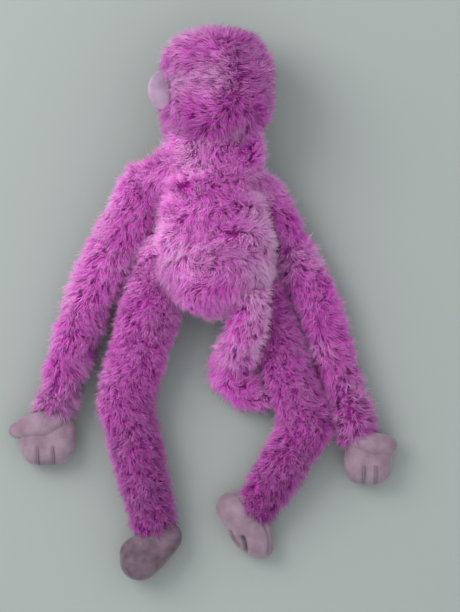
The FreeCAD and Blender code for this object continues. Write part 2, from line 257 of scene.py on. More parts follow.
# The right foot's seam between sole and side, the notch beside its big toe, and a fold. Each is a
# line of steps from the ankle across the floor, with its depth and width.
FOOT_LINES = (
    (vectors_mm((-16, 6), (-1, -10), (8, -22), (10, -32), (9, -44)), 1.1 * MM, 1.2 * MM),
    (vectors_mm((-14, -29), (-12, -35), (-12, -42)), 3.8 * MM, 2.4 * MM),
    (vectors_mm((-25, -24), (-22, -31), (-18, -36)), 1.8 * MM, 2.2 * MM),
)
# A line's corners are cut a few times over, and it is then divided into points.
LINE_POINTS = 60
ROUNDING_PASSES = 3
CORNER_CUT = 0.25

# The camera looks straight down. At the subject's height, its view is as long as VIEW_HEIGHT. The
# camera's height is in metres.
VIEW_MIDDLE = Vector((25.0, 1.5, 0)) * MM
VIEW_HEIGHT = 551 * MM
SUBJECT_HEIGHT = 20 * MM
CAMERA_HEIGHT = 2.6
SENSOR_MM = 36.0

# A plain floor, an even pale room, and a large window to the upper left, in metres.
FLOOR_SIZE = 12
FLOOR_COLOUR = (0.25, 0.275, 0.265, 1)
ROOM_COLOUR = (0.95, 0.98, 1.0, 1)
ROOM_STRENGTH = 1.2
WINDOW_PLACE = (-1.1, 0.75, 1.3)
WINDOW_SIZE = 1.1
WINDOW_ENERGY = 26
WINDOW_COLOUR = (1.0, 0.97, 0.94)

# Keeps a division by a length from failing where the length is nothing.
TINY = 1e-9
# The height of a direction that is too near to upright to be crossed with the upright one.
NEARLY_UPRIGHT = 0.9


# ---------------------------------------------------------------- places in the frame


def joint_place(name):
    """A joint's place at rest."""
    joint = next(item for item in frame["joints"] if item["name"] == name)
    return Vector(joint["pos_m"])


def node_points(name):
    """The vertices of a frame node, as an array."""
    mesh = frame["nodes"][name].data
    points = np.zeros(len(mesh.vertices) * 3, np.float32)
    mesh.vertices.foreach_get("co", points)
    return points.reshape(-1, 3).astype(float)


def end_radius(node, middle, away):
    """The radius of a cover's round end: its furthest vertices in a cone past the end's middle."""
    offsets = node_points(node) - np.array(middle)
    reach = np.linalg.norm(offsets, axis=1)
    in_cone = offsets @ np.array(away.normalized()) > END_CONE_COSINE * reach
    return float(reach[in_cone].max())


def limb_ends(joints, nodes):
    """The middle and skin radius of each bend along a limb, the root's first."""
    middles = [joint_place(name) for name in joints]
    ends = []
    for number, (middle, node) in enumerate(zip(middles, nodes)):
        if number == 0:
            away = middle - middles[1]
        else:
            away = middles[number - 1] - middle
        ends.append((middle, end_radius(node, middle, away) - SKIN_INSET))
    return ends


def trunk_ends():
    """The belly and the chest."""
    low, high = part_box("torso_cover")
    belly_radius = (high.x - low.x) / 2
    belly = Vector(((low.x + high.x) / 2, low.y + belly_radius, high.z - belly_radius))
    chest = joint_place("neck_turn") + CHEST_FROM_NECK
    return [(belly, belly_radius - SKIN_INSET), (chest, CHEST_RADIUS - SKIN_INSET)]


def head_ends():
    """The base of the head and its crown."""
    low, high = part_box("head_cover")
    base_radius = (high.x - low.x) / 2
    middle_x, height = (low.x + high.x) / 2, high.z - base_radius
    crown = Vector((middle_x, high.y - CROWN_RADIUS, height))
    base = crown - Vector((0, HEAD_BASE_BELOW_CROWN, 0))
    return [(base, base_radius - SKIN_INSET), (crown, CROWN_RADIUS - SKIN_INSET)]


# ---------------------------------------------------------------- skins


def new_object(name, mesh):
    obj = bpy.data.objects.new(name, mesh)
    bpy.context.scene.collection.objects.link(obj)
    return obj


def get_points(obj):
    points = np.zeros(len(obj.data.vertices) * 3, np.float32)
    obj.data.vertices.foreach_get("co", points)
    return points.reshape(-1, 3).astype(float)


def get_normals(obj):
    normals = np.zeros(len(obj.data.vertices) * 3, np.float32)
    obj.data.vertices.foreach_get("normal", normals)
    return normals.reshape(-1, 3).astype(float)


def set_points(obj, points):
    obj.data.vertices.foreach_set("co", points.astype(np.float32).ravel())
    obj.data.update()


def apply_modifiers(obj):
    """Gives the object the mesh that its modifiers make, and removes them."""
    depsgraph = bpy.context.evaluated_depsgraph_get()
    made = bpy.data.meshes.new_from_object(obj.evaluated_get(depsgraph))
    obj.modifiers.clear()
    obj.data = made


def close_skin(obj, voxel, smoothing):
    """Turns overlapping shells into one closed, smooth skin."""
    remesh = obj.modifiers.new("remesh", "REMESH")
    remesh.mode = "VOXEL"
    remesh.voxel_size = voxel
    smooth = obj.modifiers.new("smooth", "SMOOTH")
    smooth.factor = SMOOTH_FACTOR
    smooth.iterations = smoothing
    apply_modifiers(obj)
    obj.data.polygons.foreach_set("use_smooth", [True] * len(obj.data.polygons))


def ball_template():
    """The points and faces of a round ball of radius 1."""
    shape = bmesh.new()
    bmesh.ops.create_icosphere(shape, subdivisions=BALL_SUBDIVISIONS, radius=1.0)
    shape.verts.ensure_lookup_table()
    points = np.array([v.co for v in shape.verts])
    faces = np.array([[v.index for v in f.verts] for f in shape.faces])
    shape.free()
    return points, faces


BALL_POINTS, BALL_FACES = ball_template()


def stations(ends):
    """Round sections close together along a chain of ends."""
    made = [ends[0]]
    for (start, near), (end, far) in zip(ends, ends[1:]):
        steps = max(1, round((end - start).length / STATION_STEP))
        for number in range(1, steps + 1):
            share = number / steps
            made.append((start.lerp(end, share), near + (far - near) * share))
    return made


def skin_from_ends(name, *chains, voxel=FUR_SKIN_VOXEL, smoothing=FUR_SMOOTHING):
    """A closed skin round one or more chains of round ends."""
    points, faces = [], []
    for chain in chains:
        for middle, radius in stations(chain):
            faces.append(BALL_FACES + len(points) * len(BALL_POINTS))
            points.append(BALL_POINTS * radius + np.array(middle))
    mesh = bpy.data.meshes.new(name)
    mesh.from_pydata(np.concatenate(points).tolist(), [], np.concatenate(faces).tolist())
    obj = new_object(name, mesh)
    close_skin(obj, voxel, smoothing)
    return obj


def placed_chains(joint, chains):
    """Chains of steps from a joint, with their heights measured from the floor."""
    origin = joint_place(joint)
    ground = Vector((origin.x, origin.y, 0))
    return [[(ground + step, radius) for step, radius in chain] for chain in chains]


def skin_from_steps(name, joint, chains):
    """A smooth skin round chains given as steps from a joint."""
    placed = placed_chains(joint, chains)
    return skin_from_ends(name, *placed, voxel=SMOOTH_SKIN_VOXEL, smoothing=MITT_SMOOTHING)


def skin_from_node(name, node, voxel=SMOOTH_SKIN_VOXEL, smoothing=NODE_SMOOTHING):
    """A closed skin round a frame node, which itself stays as it is."""
    obj = new_object(name, frame["nodes"][node].data.copy())
    obj.data.materials.clear()
    close_skin(obj, voxel, smoothing)
    return obj


def fill_skins(swells):
    """Fills every skin like a stuffed cover: cloth under pressure, each point's move capped."""
    for obj in swells:
        cloth = obj.modifiers.new("fill", "CLOTH")
        cloth.settings.use_pressure = True
        cloth.settings.uniform_pressure_force = FILL_PRESSURE
        cloth.settings.effector_weights.gravity = 0
        cloth.point_cache.frame_end = CLOTH_FRAMES
    for number in range(1, CLOTH_FRAMES + 1):
        bpy.context.scene.frame_set(number)
    depsgraph = bpy.context.evaluated_depsgraph_get()
    filled = {obj: get_points(obj.evaluated_get(depsgraph)) for obj in swells}
    for obj, swell in swells.items():
        obj.modifiers.clear()
        start = get_points(obj)
        move = filled[obj] - start
        move -= move.mean(axis=0)
        reach = np.linalg.norm(move, axis=1, keepdims=True)
        set_points(obj, start + move * np.minimum(1, swell / np.maximum(reach, TINY)))
    bpy.context.scene.frame_set(1)


def rest_on_floor(obj):
    """Flattens a skin where it would sink into the floor."""
    points = get_points(obj)
    points[:, 2] = np.maximum(points[:, 2], LOWEST_SKIN)
    set_points(obj, points)


def distance_to(points, line):
    """The distance of each point from the nearest point of a line given as points."""
    nearest = np.full(len(points), np.inf)
    for place in line:
        nearest = np.minimum(nearest, np.linalg.norm(points - place, axis=1))
    return nearest


def sew(obj, line, depth, width):
    """Draws a skin in along a line of stitches, or out where depth is negative, and paints shade
    into the crease in step with its depth.
    """
    points = get_points(obj)
    near = np.exp(-((distance_to(points, line) / width) ** 2))
    set_points(obj, points - get_normals(obj) * (depth * near)[:, None])
    mesh = obj.data
    # Painted shade: how dark each point's crease is, kept as a point attribute for the fabric to
    # read.
    seam = mesh.attributes.get("seam") or mesh.attributes.new("seam", "FLOAT", "POINT")
    before = np.zeros(len(points), np.float32)
    seam.data.foreach_get("value", before)
    dark = near * np.clip(depth / FULL_SEAM_SHADE_DEPTH, 0, 1)
    seam.data.foreach_set("value", np.maximum(before, dark).astype(np.float32))


def on_top(obj, line):
    """A line given across the floor, lifted onto the top of a skin."""
    points = get_points(obj)[get_normals(obj)[:, 2] > 0]
    gaps = np.linalg.norm(points[None, :, :2] - line[:, None, :2], axis=2)
    return np.column_stack([line[:, :2], points[np.argmin(gaps, axis=1), 2]])


def along_line(corners):
    """Points close together along a line through a few corners, rounded at each."""
    line = np.array(corners)
    keep = 1 - CORNER_CUT
    for _ in range(ROUNDING_PASSES):
        near = line[:-1] * keep + line[1:] * CORNER_CUT
        far = line[:-1] * CORNER_CUT + line[1:] * keep
        cut = np.stack([near, far], 1).reshape(-1, line.shape[1])
        line = np.concatenate([line[:1], cut, line[-1:]])
    share = np.linspace(0, len(line) - 1, LINE_POINTS)
    where = np.arange(len(line))
    return np.stack([np.interp(share, where, line[:, k]) for k in range(line.shape[1])], 1)


def tuck_ear(obj, side):
    """Draws an ear in towards its hinge, so that its root lies in the head's pile."""
    size, shift = EAR_TUCK[side]
    hinge = np.array(joint_place(f"ear_fold_{side}"))
    set_points(obj, hinge + (get_points(obj) - hinge) * size + np.array(shift))


def subdivide(obj):
    """Makes a skin finer, so that it can take narrow seams."""
    obj.modifiers.new("finer", "SUBSURF").levels = 1
    apply_modifiers(obj)


# ---------------------------------------------------------------- pile


def depth_in(points, ends):
    """How deep each point lies inside a chain of round ends; negative outside."""
    depth = np.full(len(points), -np.inf)
    for middle, radius in stations(ends):
        reach = np.linalg.norm(points - np.array(middle), axis=1)
        depth = np.maximum(depth, radius - reach)
    return depth


def scatter(obj, spacing, rng):
    """Places spread over a skin by area, and the outward direction at each."""
    mesh = obj.data
    mesh.calc_loop_triangles()
    corners = np.zeros(len(mesh.loop_triangles) * 3, np.int32)
    mesh.loop_triangles.foreach_get("vertices", corners)
    corners = corners.reshape(-1, 3)
    points, normals = get_points(obj), get_normals(obj)
    first, second, third = (points[corners[:, k]] for k in range(3))
    areas = np.linalg.norm(np.cross(second - first, third - first), axis=1) / 2
    count = int(areas.sum() / spacing**2)
    chosen = rng.choice(len(areas), count, p=areas / areas.sum())
    weights = rng.dirichlet((1, 1, 1), count)
    places = sum(points[corners[chosen, k]] * weights[:, k : k + 1] for k in range(3))
    outward = sum(normals[corners[chosen, k]] * weights[:, k : k + 1] for k in range(3))
    return places, unit(outward)


def unit(vectors):
    """Vectors brought to length 1."""
    return vectors / np.maximum(np.linalg.norm(vectors, axis=1, keepdims=True), TINY)


def sideways_pair(directions):
    """Two directions square to each one given."""
    leaning = np.abs(directions[:, 2:3]) < NEARLY_UPRIGHT
    helper = np.where(leaning, [[0.0, 0.0, 1.0]], [[1.0, 0.0, 0.0]])
    first = unit(np.cross(directions, helper))
    return first, np.cross(directions, first)


def drift(places, rng, wavelength):
    """A smooth wandering vector at each place, about one unit long."""
    total = np.zeros_like(places)
    for _ in range(WAVES):
        heading = unit(rng.normal(0, 1, (1, 3)))[0]
        wave = heading * 2 * math.pi / (wavelength * rng.uniform(*WAVELENGTH_SPREAD))
        push = rng.normal(0, 1, 3) * math.sqrt(2 / WAVES)
        total += np.sin(places @ wave + rng.uniform(0, 2 * math.pi))[:, None] * push
    return total


def tuft_tips(places, outward, lie, rng, ruffle, share):
    """Where the tip of each tuft stands, and how long the tuft is."""
    count = len(places)
    flow = unit(lie - (lie * outward).sum(1, keepdims=True) * outward)
    swirl = drift(places, rng, RUFFLE_WAVELENGTH) * ruffle + rng.normal(0, TUFT_STRAY, (count, 3))
    way = unit(outward * TUFT_OUTWARD + flow * TUFT_ALONG + swirl)
    lengths = STRAND_LENGTH * share * rng.uniform(*TUFT_LENGTHS, (count, 1))
    return places + way * lengths, lengths


def tuft_colours(places, frost, rng):
    """The frost and the shade of each tuft."""
    frost = frost + drift(places, rng, FROST_WAVELENGTH)[:, 0] * TUFT_FROST_SPREAD
    return np.clip(frost, 0, 1), rng.uniform(0, 1, len(places))


def strand_shapes(places, outward, tips, lengths, rng):
    """The root, bend and tip of each strand, from the tuft that it stands in."""
    count = len(places)
    first, second = sideways_pair(outward)
    angle = rng.uniform(0, 2 * math.pi, (count, 1))
    spread = TUFT_RADIUS * np.sqrt(rng.uniform(0, 1, (count, 1)))
    offset = (first * np.cos(angle) + second * np.sin(angle)) * spread
    root = places + offset - outward * ROOT_SINK
    tip = tips + offset * TIP_SPREAD + rng.normal(0, TIP_STRAY, (count, 3))
    tip[:, 2] = np.minimum(tip[:, 2], HIGHEST_STRAND)
    bend = root + outward * lengths * BEND_RISE + rng.normal(0, BEND_STRAY, (count, 3))
    return root, bend, tip


def strand_colours(frost, shade, deep, rng):
    """The shade and the frost of each strand, from those of its tuft."""
    count = len(frost)
    own_shade = rng.uniform(0, STRAND_SHADE_SPREAD, count)
    shade = BASE_SHADE + shade * TUFT_SHADE_SPREAD + own_shade - DEEP_SHADE * deep
    # Painted highlight: scattered paler strands.
    frost = frost + rng.normal(0, STRAND_HIGHLIGHT_SPREAD, count)
    return np.clip(shade, 0, 1), np.clip(frost, 0, 1)


def strand_points(root, bend, tip):
    """The points of every strand, ring by ring and then its tip, and how far along each one is."""
    sides = STRAND_SIDES
    points = np.zeros((len(root), POINTS_PER_STRAND, 3))
    along = np.zeros(POINTS_PER_STRAND)
    first, second = sideways_pair(unit(tip - root))
    for ring, (share, thickness) in enumerate(STRAND_RINGS):
        middle = root * (1 - share) ** 2 + bend * 2 * share * (1 - share) + tip * share**2
        for side in range(sides):
            angle = 2 * math.pi * side / sides
            out = first * math.cos(angle) + second * math.sin(angle)
            points[:, ring * sides + side] = middle + out * STRAND_RADIUS * thickness
            along[ring * sides + side] = share
    points[:, -1] = tip
    along[-1] = 1.0
    points[:, :, 2] = np.maximum(points[:, :, 2], LOWEST_STRAND)
    return points, along


def strand_faces():
    """The faces of one strand, and a place across and along it for each of their corners."""
    sides = STRAND_SIDES
    shares = [share for share, _ in STRAND_RINGS]
    faces, places = [], []
    for ring, (near, far) in enumerate(zip(shares, shares[1:])):
        low, high = ring * sides, (ring + 1) * sides
        for side in range(sides):
            after = (side + 1) % sides
            faces.append([low + side, low + after, high + after, high + side])
            places.append([(side, near), (side + 1, near), (side + 1, far), (side, far)])
    last = (len(shares) - 1) * sides
    for side in range(sides):
        faces.append([last + side, last + (side + 1) % sides, POINTS_PER_STRAND - 1])
        places.append([(side, shares[-1]), (side + 1, shares[-1]), (side + 0.5, 1.0)])
    faces.append(list(range(sides))[::-1])
    places.append([(side, 0.0) for side in range(sides)])
    return faces, places


def mesh_of_strands(name, points, faces):
    """One mesh that repeats a strand's faces on the points of every strand."""
    count = len(points)
    sizes = np.tile([len(face) for face in faces], count)
    first_points = np.arange(count)[:, None] * POINTS_PER_STRAND
    corners = (np.concatenate(faces)[None] + first_points).ravel()
    mesh = bpy.data.meshes.new(name)
    mesh.vertices.add(count * POINTS_PER_STRAND)
    mesh.vertices.foreach_set("co", points.astype(np.float32).ravel())
    mesh.loops.add(len(corners))
    mesh.loops.foreach_set("vertex_index", corners.astype(np.int32))
    mesh.polygons.add(len(sizes))
    mesh.polygons.foreach_set("loop_start", (np.cumsum(sizes) - sizes).astype(np.int32))
    mesh.polygons.foreach_set("use_smooth", np.ones(len(sizes), bool))
    mesh.update(calc_edges=True)
    return mesh


def colour_strands(mesh, along, shade, frost):
    """Writes what the pile's material reads: red runs along a strand, green shades, blue frosts."""
    values = np.ones((len(shade), POINTS_PER_STRAND, 4), np.float32)
    values[:, :, 0] = along
    values[:, :, 1] = shade[:, None]
    values[:, :, 2] = frost[:, None]
    mesh.attributes.new("pile", "FLOAT_COLOR", "POINT").data.foreach_set("color", values.ravel())


def lay_out_uvs(mesh, count, places):
    """Gives each strand its own cell in a square grid of UVs."""
    columns = math.ceil(math.sqrt(count))
    cell = np.stack([np.arange(count) % columns, np.arange(count) // columns], axis=1)
    inside = np.concatenate(places) / (STRAND_SIDES, 1) * (1 - 2 * UV_CELL_MARGIN)
    placed = (cell[:, None] + UV_CELL_MARGIN + inside[None]) / columns
    mesh.uv_layers.new(name="OFBake").data.foreach_set("uv", placed.astype(np.float32).ravel())


def pile_mesh(name, root, bend, tip, shade, frost):
    """One mesh of closed tapered strands, with their colouring values and UVs."""
    points, along = strand_points(root, bend, tip)
    faces, places = strand_faces()
    mesh = mesh_of_strands(name, points, faces)
    colour_strands(mesh, along, shade, frost)
    lay_out_uvs(mesh, len(root), places)
    return mesh


def even(amount):
    """A value that is the same all over a skin."""
    return lambda places: np.full(len(places), amount)


def grow_pile(
    name, skin, lie_of, attach, frost_of, deep_of=even(0.0), hidden_by=(), bare=None, ruffle=0.2,
    length=1.0, seed=0,
):
    """Grows the pile of one skin, in pieces small enough to export whole."""
    rng = np.random.default_rng(seed)
    places, outward = scatter(skin, TUFT_SPACING, rng)
    keep = np.ones(len(places), bool)
    for ends in hidden_by:
        keep &= depth_in(places, ends) < ROOT_COVERED
    if bare is not None:
        keep &= ~bare(places)
    places, outward = places[keep], outward[keep]
    order = np.argsort(-places[:, 1])
    places, outward = places[order], outward[order]

    tips, lengths = tuft_tips(places, outward, lie_of(places), rng, ruffle, length)
    frost, shade = tuft_colours(places, frost_of(places), rng)
    tufts = (places, outward, tips, lengths, frost, shade, deep_of(places))
    tufts = [np.repeat(values, STRANDS_PER_TUFT, axis=0) for values in tufts]
    shapes = strand_shapes(*tufts[:4], rng) + strand_colours(*tufts[4:], rng)
    total = len(shapes[0])
    for number, start in enumerate(range(0, total, STRANDS_PER_PIECE), start=1):
        part = slice(start, start + STRANDS_PER_PIECE)
        mesh = pile_mesh(f"{name}_{number}", *(values[part] for values in shapes))
        mesh.materials.append(PILE)
        piece = new_object(f"{name}_{number}", mesh)
        attach(piece)
    return total


# ---------------------------------------------------------------- materials


class Nodes:
    """A short way to write a node material."""

    def __init__(self, name):
        self.material = bpy.data.materials.new(name)
        self.material.use_nodes = True
        self.tree = self.material.node_tree
        self.shader = self.tree.nodes["Principled BSDF"]

    def add(self, kind, links=None, **values):
        node = self.tree.nodes.new(f"ShaderNode{kind}")
        for key, value in values.items():
            setattr(node, key, value)
        for socket, source in (links or {}).items():
            if isinstance(source, bpy.types.NodeSocket):
                self.tree.links.new(source, node.inputs[socket])
            else:
                node.inputs[socket].default_value = source
        return node

    def shade(self, **values):
        for key, value in values.items():
            socket = self.shader.inputs[key.replace("_", " ")]
            if isinstance(value, bpy.types.NodeSocket):
                self.tree.links.new(value, socket)
            else:
                socket.default_value = value

    def ramp(self, factor, stops):
        node = self.add("ValToRGB", {"Fac": factor})
        elements = node.color_ramp.elements
        while len(elements) < len(stops):
            elements.new(0.5)
        for element, (position, colour) in zip(elements, stops):
            element.position = position
            element.color = (*colour, 1)
        return node.outputs["Color"]

    def mix(self, factor, first, second, blend="MIX"):
        node = self.add("Mix", {0: factor, 6: first, 7: second}, data_type="RGBA", blend_type=blend)
        return node.outputs[2]

    def noise(self, scale, detail=4, roughness=0.5):
        where = self.add("TexCoord").outputs["Object"]
        links = {"Vector": where, "Scale": scale, "Detail": detail, "Roughness": roughness}
        return self.add("TexNoise", links).outputs["Fac"]

    def bump(self, height, strength, distance):
        links = {"Height": height, "Strength": strength, "Distance": distance}
        return self.add("Bump", links).outputs["Normal"]


def pile_material():
    """Shaggy pile: magenta along the strand, with painted shade at the roots, and pale pink tips
    that are partly their own colour and partly painted highlight.
    """
    n = Nodes("shaggy_pile")
    values = n.add("Attribute", attribute_name="pile").outputs["Color"]
    parts = n.add("SeparateColor", {"Color": values}).outputs
    # Painted shade and highlight: each ramp darkens the strand's root and pales its tip.
    body = n.ramp(parts["Red"], [
        (0.0, (0.42, 0.012, 0.34)),
        (0.35, (0.74, 0.030, 0.62)),
        (0.75, (0.88, 0.12, 0.76)),
        (1.0, (1.0, 0.66, 0.95)),
    ])
    pale = n.ramp(parts["Red"], [
        (0.0, (0.58, 0.09, 0.50)),
        (0.35, (0.84, 0.24, 0.74)),
        (0.75, (0.95, 0.56, 0.88)),
        (1.0, (1.0, 0.90, 0.97)),
    ])
    colour = n.mix(parts["Blue"], body, pale)
    tone = n.ramp(parts["Green"], [
        (0.0, (0.40, 0.30, 0.40)),
        (0.5, (0.80, 0.72, 0.79)),
        (1.0, (1.0, 1.0, 1.0)),
    ])
    colour = n.mix(1.0, colour, tone, "MULTIPLY")
    patches = n.ramp(n.noise(35), [(0.35, (0.86, 0.82, 0.85)), (0.65, (1, 1, 1))])
    n.shade(Base_Color=n.mix(1.0, colour, patches, "MULTIPLY"), Roughness=0.48)
    n.shade(Sheen_Weight=0.12, Sheen_Roughness=0.4, Specular_IOR_Level=0.25)
    return n.material


def backing_material():
    """The knitted backing that shows between the tufts: magenta, made dark as painted shade in the
    gaps.
    """
    n = Nodes("pile_backing")
    knit = n.noise(900, 2)
    # Painted shade: the backing is darker than the pile, so that the gaps between tufts read as
    # shadow.
    colour = n.ramp(knit, [(0.3, (0.32, 0.010, 0.26)), (0.7, (0.50, 0.02, 0.42))])
    n.shade(Base_Color=colour, Roughness=0.9, Normal=n.bump(knit, 0.6, 0.4 * MM))
    return n.material


def velboa_material(name, dark, light):
    """Smooth short-nap fabric: greyish mauve, brushed in soft patches, with a fine fibre and
    painted shade in the creases of its seams.
    """
    n = Nodes(name)
    patches = n.noise(70, 3)
    fibre = n.noise(1500, 4, 0.7)
    broad = n.ramp(patches, [(0.3, dark), (0.7, light)])
    fine = n.ramp(fibre, [(0.3, (0.74, 0.72, 0.74)), (0.7, (1, 1, 1))])
    nap = n.mix(1.0, broad, fine, "MULTIPLY")
    # Painted shade: the creases of the seams are darkened towards near-black.
    seam = n.add("Attribute", attribute_name="seam").outputs["Fac"]
    n.shade(Base_Color=n.mix(seam, nap, (0.07, 0.04, 0.062, 1)), Roughness=0.85)
    n.shade(Normal=n.bump(fibre, 0.45, 0.35 * MM), Sheen_Weight=0.2, Sheen_Roughness=0.45)
    return n.material


def thread_material():
    """Twisted sewing thread."""
    n = Nodes("sewing_thread")
    where = n.add("TexCoord").outputs["Object"]
    twist = n.add("TexWave", {"Vector": where, "Scale": 900, "Distortion": 1.0}).outputs["Fac"]
    colour = n.ramp(twist, [(0.2, (0.13, 0.075, 0.11)), (0.8, (0.24, 0.155, 0.205))])
    n.shade(Base_Color=colour, Roughness=0.7, Normal=n.bump(twist, 0.5, 0.1 * MM))
    return n.material


def eye_material():
    """Polished black plastic with the faint cloudiness of handling."""
    n = Nodes("eye_plastic")
    haze = n.noise(400, 3)
    colour = n.ramp(haze, [(0.3, (0.008, 0.008, 0.009)), (0.7, (0.018, 0.017, 0.019))])
    rough = n.add("MapRange", {"Value": haze, "To Min": 0.06, "To Max": 0.16}).outputs["Result"]
    n.shade(Base_Color=colour, Roughness=rough, Coat_Weight=0.4)
    return n.material


def washer_material():
    """Moulded milky plastic."""
    n = Nodes("washer_plastic")
    grain = n.noise(600, 3)
    colour = n.ramp(grain, [(0.3, (0.62, 0.62, 0.58)), (0.7, (0.74, 0.74, 0.70))])
    n.shade(Base_Color=colour, Roughness=0.5, Normal=n.bump(grain, 0.2, 0.1 * MM))
    return n.material


PILE = pile_material()
BACKING = backing_material()
VELBOA = velboa_material("smooth_velboa", (0.175, 0.107, 0.152), (0.27, 0.187, 0.238))
EAR_VELBOA = velboa_material("ear_velboa", (0.29, 0.19, 0.29), (0.40, 0.285, 0.395))
# Painted shade: the left foot's fabric is darkened as if it lay in shadow.
SHADED_VELBOA = velboa_material("shaded_velboa", (0.06, 0.032, 0.051), (0.16, 0.10, 0.14))
THREAD = thread_material()


def dress_frame_nodes():
    """The frame's own hard pieces and threads keep their shape and get their finish."""
    eye, washer = eye_material(), washer_material()
    for name, node in frame["nodes"].items():
        if "stitch" in name:
            finish = THREAD
        elif name == "eye_washers":
            finish = washer
        else:
            finish = eye
        if "stitch" in name or name.startswith("eye"):
            node.data.materials.clear()
            node.data.materials.append(finish)


def finish_skin(obj, material, nodes):
    """Gives a skin its material and slot, and hides the frame nodes that it stands for."""
    obj.data.materials.clear()
    obj.data.materials.append(material)
    if nodes:
        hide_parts(*nodes)


# ---------------------------------------------------------------- the toy's places


TRUNK = trunk_ends()
HEAD = head_ends()
NECK_MIDDLE = joint_place("neck_turn")
NECK_LOW, NECK_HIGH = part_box("neck_cover")
NECK_RADIUS = (NECK_HIGH.x - NECK_LOW.x) / 2 - SKIN_INSET
NECK = [(NECK_MIDDLE + step, NECK_RADIUS) for step in NECK_WIDENING]
TAIL_BEND = joint_place("tail_tip_swing")
TAIL = limb_ends(
    ("tail_root_lift", "tail_middle_lift", "tail_tip_swing"),
    ("tail_cover_1", "tail_cover_2", "tail_cover_3"),
)
TAIL_BEND_RADIUS = TAIL[2][1]
TAIL_TIP_SKIN_RADIUS = TAIL_TIP_RADIUS - SKIN_INSET / 2
TAIL_END = [
    (TAIL_BEND + step, TAIL_BEND_RADIUS + (TAIL_TIP_SKIN_RADIUS - TAIL_BEND_RADIUS) * share)
    for step, share in zip(TAIL_CURL, TAIL_TAPER)
]
ARMS, LEGS = {}, {}
for side in SIDES:
    ARMS[side] = limb_ends(
        (f"shoulder_swing_{side}", f"elbow_bend_{side}", f"wrist_bend_{side}"),
        (f"shoulder_cover_{side}", f"forearm_cover_{side}", f"hand_cover_{side}"),
    )
    ARMS[side][0] = (ARMS[side][0][0] + ARM_ROOT_SHIFT[side], ARM_ROOT_RADIUS[side])
    LEGS[side] = limb_ends(
        (f"hip_lift_{side}", f"knee_bend_{side}", f"ankle_bend_{side}"),
        (f"thigh_cover_{side}", f"shin_cover_{side}", f"foot_cover_{side}"),
    )
FACE_LOW, FACE_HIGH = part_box("face_panel")
YOKE_ROOT = TRUNK[1][0] + YOKE_FROM_CHEST
YOKE = {
    side: [(YOKE_ROOT, YOKE_ROOT_RADIUS), (ARMS[side][0][0], YOKE_RADIUS[side])] for side in SIDES
}
NAPE = [(NECK_MIDDLE + NAPE_FROM_NECK, NAPE_RADIUS), (ARMS["left"][0][0], YOKE_RADIUS["left"])]
HEAD_BASE, HEAD_CROWN = HEAD[0][0], HEAD[1][0]
CROWN = [(HEAD_CROWN + step, radius) for step, radius in CROWN_CORNERS]
CHEEK = [(HEAD_BASE + step, radius) for step, radius in CHEEK_TUFT]
EAR_BED = [(joint_place("ear_fold_left") + EAR_BED_STEP, EAR_BED_RADIUS)]
HIP_FOLD_ENDS = [(LEGS["left"][0][0] + step, radius) for step, radius in HIP_FOLD]


# ---------------------------------------------------------------- making the pieces


def make_skins():
    """Every skin in its unfilled shape, by name."""
    skins = {
        "torso_skin": skin_from_ends("torso_skin", TRUNK, *YOKE.values(), NAPE, HIP_FOLD_ENDS),
        "neck_skin": skin_from_ends("neck_skin", NECK),
        "head_skin": skin_from_ends("head_skin", HEAD, CROWN, CHEEK),
        "tail_skin": skin_from_ends("tail_skin", TAIL),
        "tail_end_skin": skin_from_ends("tail_end_skin", TAIL_END),
        "muzzle_skin": skin_from_node("muzzle_skin", "muzzle_cover"),
        "face_skin": skin_from_node("face_skin", "face_panel", THIN_SKIN_VOXEL, FACE_SMOOTHING),
    }
    for side in SIDES:
        skins[f"arm_skin_{side}"] = skin_from_ends(f"arm_skin_{side}", ARMS[side])
        skins[f"leg_skin_{side}"] = skin_from_ends(f"leg_skin_{side}", LEGS[side])
        root, radius = ARMS[side][0]
        shoulder = [(root, radius - SHOULDER_SKIN_INSET)]
        skins[f"shoulder_skin_{side}"] = skin_from_ends(f"shoulder_skin_{side}", shoulder)
        for part, bend, chains in (
            ("hand", "wrist", MITT), ("thumb", "wrist", THUMB), ("foot", "ankle", FOOT)
        ):
            name = f"{part}_skin_{side}"
            skins[name] = skin_from_steps(name, f"{bend}_bend_{side}", chains[side])
        ear = skin_from_node(f"ear_skin_{side}", f"ear_cover_{side}", THIN_SKIN_VOXEL)
        tuck_ear(ear, side)
        skins[ear.name] = ear
    return skins


def sew_details(skins):
    """The seams and stitches that show, drawn into the filled skins."""
    sew(skins["torso_skin"], node_points("closing_stitches")[::THREAD_SKIP], *CLOSING_STITCHES)
    for side in SIDES:
        for part in ("hand", "foot", "thumb"):
            subdivide(skins[f"{part}_skin_{side}"])
        threads = node_points(f"finger_stitches_{side}")[::THREAD_SKIP]
        sew(skins[f"hand_skin_{side}"], threads, *FINGER_STITCHES)
    foot = skins["foot_skin_right"]
    ankle = joint_place("ankle_bend_right").to_2d()
    for steps, depth, width in FOOT_LINES:
        line = along_line([ankle + step for step in steps])
        sew(foot, on_top(foot, line), depth, width)


def swell_of(name):
    """How far the filling may push a skin out."""
    if name.startswith(("hand", "foot")):
        return SMOOTH_SKIN_SWELL
    if name.startswith(("muzzle", "face", "ear", "shoulder", "thumb")):
        return SMALL_SKIN_SWELL
    return FUR_SKIN_SWELL


def both(name):
    """A part's cover and stuffing nodes. A colon in the name stands before its side or number."""
    part, _, side = name.partition(":")
    ending = f"_{side}" if side else ""
    return [f"{part}_cover{ending}", f"{part}_stuffing{ending}"]


